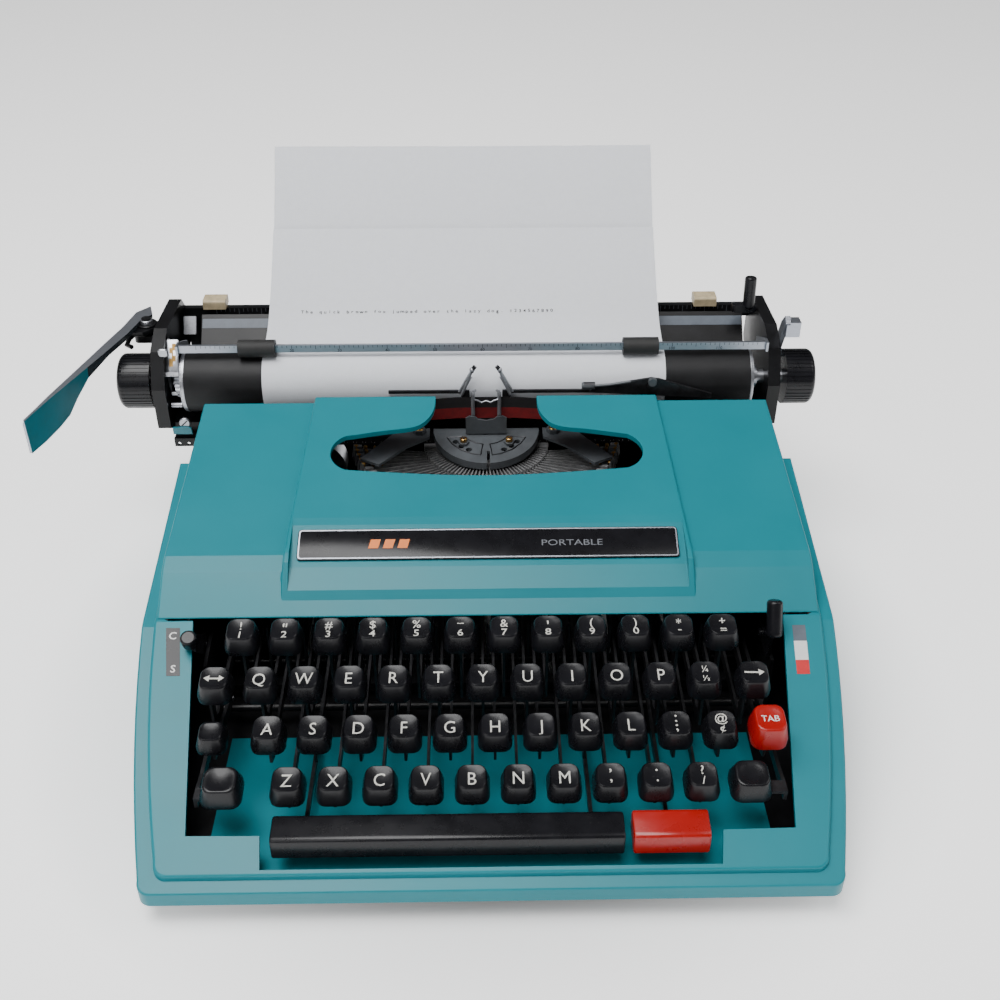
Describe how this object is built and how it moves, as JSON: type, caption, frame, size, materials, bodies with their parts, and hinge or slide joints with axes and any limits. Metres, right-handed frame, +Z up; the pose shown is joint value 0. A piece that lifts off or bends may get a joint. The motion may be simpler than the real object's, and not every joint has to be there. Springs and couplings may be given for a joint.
{
  "type": "portable typewriter",
  "caption": "Portable manual typewriter with sloped keyboard, removable top cover and a wide carriage holding a sheet of paper.",
  "frame": {"origin": "bottom centre of the overall bounding box, on the table under the feet", "axes": "+Z up, +Y from the typist towards the back, +X to the typist's right"},
  "size_m": [0.4044, 0.3792, 0.194],
  "materials": {
    "teal_plastic": "glossy moulded ABS",
    "black_plastic": "glossy moulded phenolic black",
    "red_plastic": "glossy moulded red",
    "ivory_plastic": "aged ivory nylon",
    "black_paint": "semi-gloss black enamel",
    "platen_rubber": "ground platen rubber",
    "foot_rubber": "moulded rubber",
    "steel": "bright zinc-plated steel",
    "dark_steel": "blackened spring steel",
    "grey_steel": "matte grey hardened steel",
    "aluminium": "satin anodised",
    "paper": "plain bond paper",
    "ribbon_cloth": "inked nylon, black over red"
  },
  "bodies": {
    "frame": {"lower_case": "teal_plastic", "base_plate": "black_paint", "rubber_feet": "foot_rubber", "side_frames": "black_paint", "chassis_rods": "steel", "key_comb": "dark_steel", "spool_cups": "dark_steel", "card_holder": "dark_steel", "carriage_rail": "steel"},
    "cover": {"top_cover": "teal_plastic", "name_plate": "black_plastic"},
    "space_bar": {"spacebar": "black_plastic"},
    "repeat": {"repeat_key": "red_plastic"},
    "margin_release": {"margin_release_key": "black_plastic"},
    "arrow": {"arrow_key": "black_plastic"},
    "tabulator": {"tab_key": "red_plastic"},
    "shift": {"shift_keys": "black_plastic", "shift_yoke": "dark_steel"},
    "shift_lock": {"shift_lock_key": "black_plastic"},
    "touch": {"touch_lever": "black_plastic"},
    "color_selector": {"color_lever": "black_plastic"},
    "type_basket": {"segment": "dark_steel", "segment_plate": "grey_steel", "type_bars": "steel", "type_guide": "grey_steel", "basket_arms": "grey_steel"},
    "striking_type_bar": {"type_bar_centre": "steel"},
    "spool_left": {"ribbon_spool_left": "dark_steel"},
    "spool_right": {"ribbon_spool_right": "dark_steel"},
    "vibrator": {"ribbon_vibrator": "steel", "ribbon": "ribbon_cloth"},
    "escapement": {"escapement_wheel": "steel"},
    "mainspring": {"mainspring_drum": "steel"},
    "carriage": {"carriage_frame": "black_paint", "end_plate_left": "black_paint", "end_plate_right": "black_paint", "paper_table": "black_paint", "margin_rail": "black_paint", "paper_sheet": "paper"},
    "platen_roller": {"platen": "platen_rubber", "platen_shaft": "steel", "platen_knobs": "black_plastic"},
    "feed_front": {"feed_roller_front": "foot_rubber"},
    "feed_back": {"feed_roller_back": "foot_rubber"},
    "stop_left": {"margin_stop_left": "ivory_plastic"},
    "stop_right": {"margin_stop_right": "ivory_plastic"},
    "bail": {"paper_bail": "aluminium"},
    "bail_roller_pair": {"bail_rollers": "foot_rubber"},
    "carriage_return": {"return_lever": "aluminium"},
    "line_space": {"line_space_selector": "steel"},
    "paper_release": {"paper_release_lever": "aluminium"},
    "carriage_release": {"carriage_release_lever": "black_plastic"},
    "key_row_1": {"keycaps_row_1": "black_plastic", "key_levers_row_1": "dark_steel"},
    "key_row_2": {"keycaps_row_2": "black_plastic", "key_levers_row_2": "dark_steel"},
    "key_row_3": {"keycaps_row_3": "black_plastic", "key_levers_row_3": "dark_steel"},
    "key_row_4": {"keycaps_row_4": "black_plastic", "key_levers_row_4": "dark_steel"}
  },
  "joints": [
    {"name": "key_row_1_press", "type": "hinge", "parent": "frame", "child": "key_row_1", "pos_m": [0.02382, 0.0364, 0.044], "axis": [1, 0, 0], "range_deg": [0, 4.4], "stiffness_Nm_per_rad": 4, "springref_deg": -4.58},
    {"name": "key_row_2_press", "type": "hinge", "parent": "frame", "child": "key_row_2", "pos_m": [0.02382, 0.0364, 0.044], "axis": [1, 0, 0], "range_deg": [0, 3.9], "stiffness_Nm_per_rad": 4, "springref_deg": -4.58},
    {"name": "key_row_3_press", "type": "hinge", "parent": "frame", "child": "key_row_3", "pos_m": [0.02382, 0.0364, 0.044], "axis": [1, 0, 0], "range_deg": [0, 3.5], "stiffness_Nm_per_rad": 4, "springref_deg": -4.58},
    {"name": "key_row_4_press", "type": "hinge", "parent": "frame", "child": "key_row_4", "pos_m": [0.02382, 0.0364, 0.044], "axis": [1, 0, 0], "range_deg": [0, 3.1], "stiffness_Nm_per_rad": 4, "springref_deg": -4.58},
    {"name": "space_bar_press", "type": "hinge", "parent": "frame", "child": "space_bar", "pos_m": [0.00582, -0.0876, 0.022], "axis": [1, 0, 0], "range_deg": [0, 4.8], "stiffness_Nm_per_rad": 1, "springref_deg": -6.88},
    {"name": "repeat_press", "type": "hinge", "parent": "frame", "child": "repeat", "pos_m": [0.09782, -0.0876, 0.022], "axis": [1, 0, 0], "range_deg": [0, 4.8], "stiffness_Nm_per_rad": 0.6, "springref_deg": -6.88},
    {"name": "margin_release_press", "type": "hinge", "parent": "frame", "child": "margin_release", "pos_m": [-0.09378, 0.0364, 0.044], "axis": [1, 0, 0], "range_deg": [0, 3.3], "stiffness_Nm_per_rad": 0.8, "springref_deg": -5.73},
    {"name": "arrow_press", "type": "hinge", "parent": "frame", "child": "arrow", "pos_m": [0.13682, 0.0364, 0.044], "axis": [1, 0, 0], "range_deg": [0, 3.6], "stiffness_Nm_per_rad": 0.8, "springref_deg": -5.73},
    {"name": "tab_press", "type": "hinge", "parent": "frame", "child": "tabulator", "pos_m": [0.14102, 0.0364, 0.044], "axis": [1, 0, 0], "range_deg": [0, 3.2], "stiffness_Nm_per_rad": 0.8, "springref_deg": -5.73},
    {"name": "shift_press", "type": "hinge", "parent": "frame", "child": "shift", "pos_m": [0.02382, 0.0144, 0.032], "axis": [1, 0, 0], "range_deg": [0, 3.5], "stiffness_Nm_per_rad": 6, "springref_deg": -6.88},
    {"name": "basket_shift", "type": "slide", "parent": "frame", "child": "type_basket", "axis": [0, 0, -1], "range_m": [0, 0.0066]},
    {"name": "shift_lock_press", "type": "hinge", "parent": "shift", "child": "shift_lock", "pos_m": [-0.09358, -0.09839, 0.0385], "axis": [1, 0, 0], "range_deg": [0, 6], "stiffness_Nm_per_rad": 0.2, "springref_deg": -8.59},
    {"name": "touch_swing", "type": "hinge", "parent": "frame", "child": "touch", "pos_m": [-0.10758, -0.07459, 0.05], "axis": [1, 0, 0], "range_deg": [-6, 6]},
    {"name": "color_swing", "type": "hinge", "parent": "frame", "child": "color_selector", "pos_m": [0.15142, -0.0726, 0.052], "axis": [1, 0, 0], "range_deg": [-7, 7]},
    {"name": "type_bar_swing", "type": "hinge", "parent": "type_basket", "child": "striking_type_bar", "pos_m": [0.0248, 0.03442, 0.067], "axis": [-0.9995, -0.0325, 0], "range_deg": [0, 108]},
    {"name": "ribbon_lift", "type": "slide", "parent": "frame", "child": "vibrator", "axis": [0, 0, 1], "range_m": [0, 0.007]},
    {"name": "spool_right_turn", "type": "hinge", "parent": "frame", "child": "spool_right", "pos_m": [0.13182, 0.0104, 0.08], "axis": [0, 0, 1], "continuous": true},
    {"name": "spool_left_turn", "type": "hinge", "parent": "frame", "child": "spool_left", "pos_m": [-0.08418, 0.0104, 0.08], "axis": [0, 0, 1], "continuous": true},
    {"name": "carriage_travel", "type": "slide", "parent": "frame", "child": "carriage", "axis": [1, 0, 0], "range_m": [-0.13, 0.15]},
    {"name": "escapement_turn", "type": "hinge", "parent": "frame", "child": "escapement", "pos_m": [0.02382, 0.07741, 0.056], "axis": [0, 1, 0], "range_deg": [-600, 600]},
    {"name": "mainspring_turn", "type": "hinge", "parent": "frame", "child": "mainspring", "pos_m": [-0.07218, 0.08241, 0.047], "axis": [0, 1, 0], "range_deg": [-600, 600]},
    {"name": "platen_turn", "type": "hinge", "parent": "carriage", "child": "platen_roller", "pos_m": [0.01282, 0.0844, 0.1005], "axis": [1, 0, 0], "continuous": true},
    {"name": "feed_front_turn", "type": "hinge", "parent": "carriage", "child": "feed_front", "pos_m": [0.01382, 0.07194, 0.08454], "axis": [1, 0, 0], "continuous": true},
    {"name": "feed_back_turn", "type": "hinge", "parent": "carriage", "child": "feed_back", "pos_m": [0.01382, 0.09453, 0.08296], "axis": [1, 0, 0], "continuous": true},
    {"name": "margin_left_slide", "type": "slide", "parent": "carriage", "child": "stop_left", "axis": [1, 0, 0], "range_m": [-0.008, 0.06]},
    {"name": "margin_right_slide", "type": "slide", "parent": "carriage", "child": "stop_right", "axis": [1, 0, 0], "range_m": [-0.06, 0.012]},
    {"name": "bail_swing", "type": "hinge", "parent": "carriage", "child": "bail", "pos_m": [0.01682, 0.09841, 0.114], "axis": [-1, 0, 0], "range_deg": [0, 35]},
    {"name": "bail_rollers_turn", "type": "hinge", "parent": "bail", "child": "bail_roller_pair", "pos_m": [0.00382, 0.07941, 0.1223], "axis": [1, 0, 0], "continuous": true},
    {"name": "return_lever_swing", "type": "hinge", "parent": "carriage", "child": "carriage_return", "pos_m": [-0.16178, 0.1059, 0.121], "axis": [0, 0, 1], "range_deg": [0, 32], "stiffness_Nm_per_rad": 0.3, "springref_deg": -8.59},
    {"name": "line_space_select", "type": "hinge", "parent": "carriage", "child": "line_space", "pos_m": [-0.14668, 0.0844, 0.1005], "axis": [1, 0, 0], "range_deg": [-5, 5]},
    {"name": "paper_release_pull", "type": "hinge", "parent": "carriage", "child": "paper_release", "pos_m": [0.18382, 0.09241, 0.1115], "axis": [1, 0, 0], "range_deg": [0, 20]},
    {"name": "carriage_release_press", "type": "hinge", "parent": "carriage", "child": "carriage_release", "pos_m": [0.16782, 0.11441, 0.1275], "axis": [1, 0, 0], "range_deg": [0, 9], "stiffness_Nm_per_rad": 0.1, "springref_deg": -11.46},
    {"name": "cover_lift", "type": "slide", "parent": "frame", "child": "cover", "axis": [0, 0, -1], "range_m": [-0.06, 0]}
  ],
  "couplings": [
    {"joint": "basket_shift", "follows": "shift_press", "m_per_rad": 0.10641},
    {"joint": "spool_left_turn", "follows": "spool_right_turn", "ratio": 1},
    {"joint": "escapement_turn", "follows": "carriage_travel", "rad_per_m": 60.331},
    {"joint": "mainspring_turn", "follows": "carriage_travel", "rad_per_m": -58.824},
    {"joint": "feed_front_turn", "follows": "platen_turn", "ratio": -6.5385},
    {"joint": "feed_back_turn", "follows": "platen_turn", "ratio": -6.5385}
  ]
}
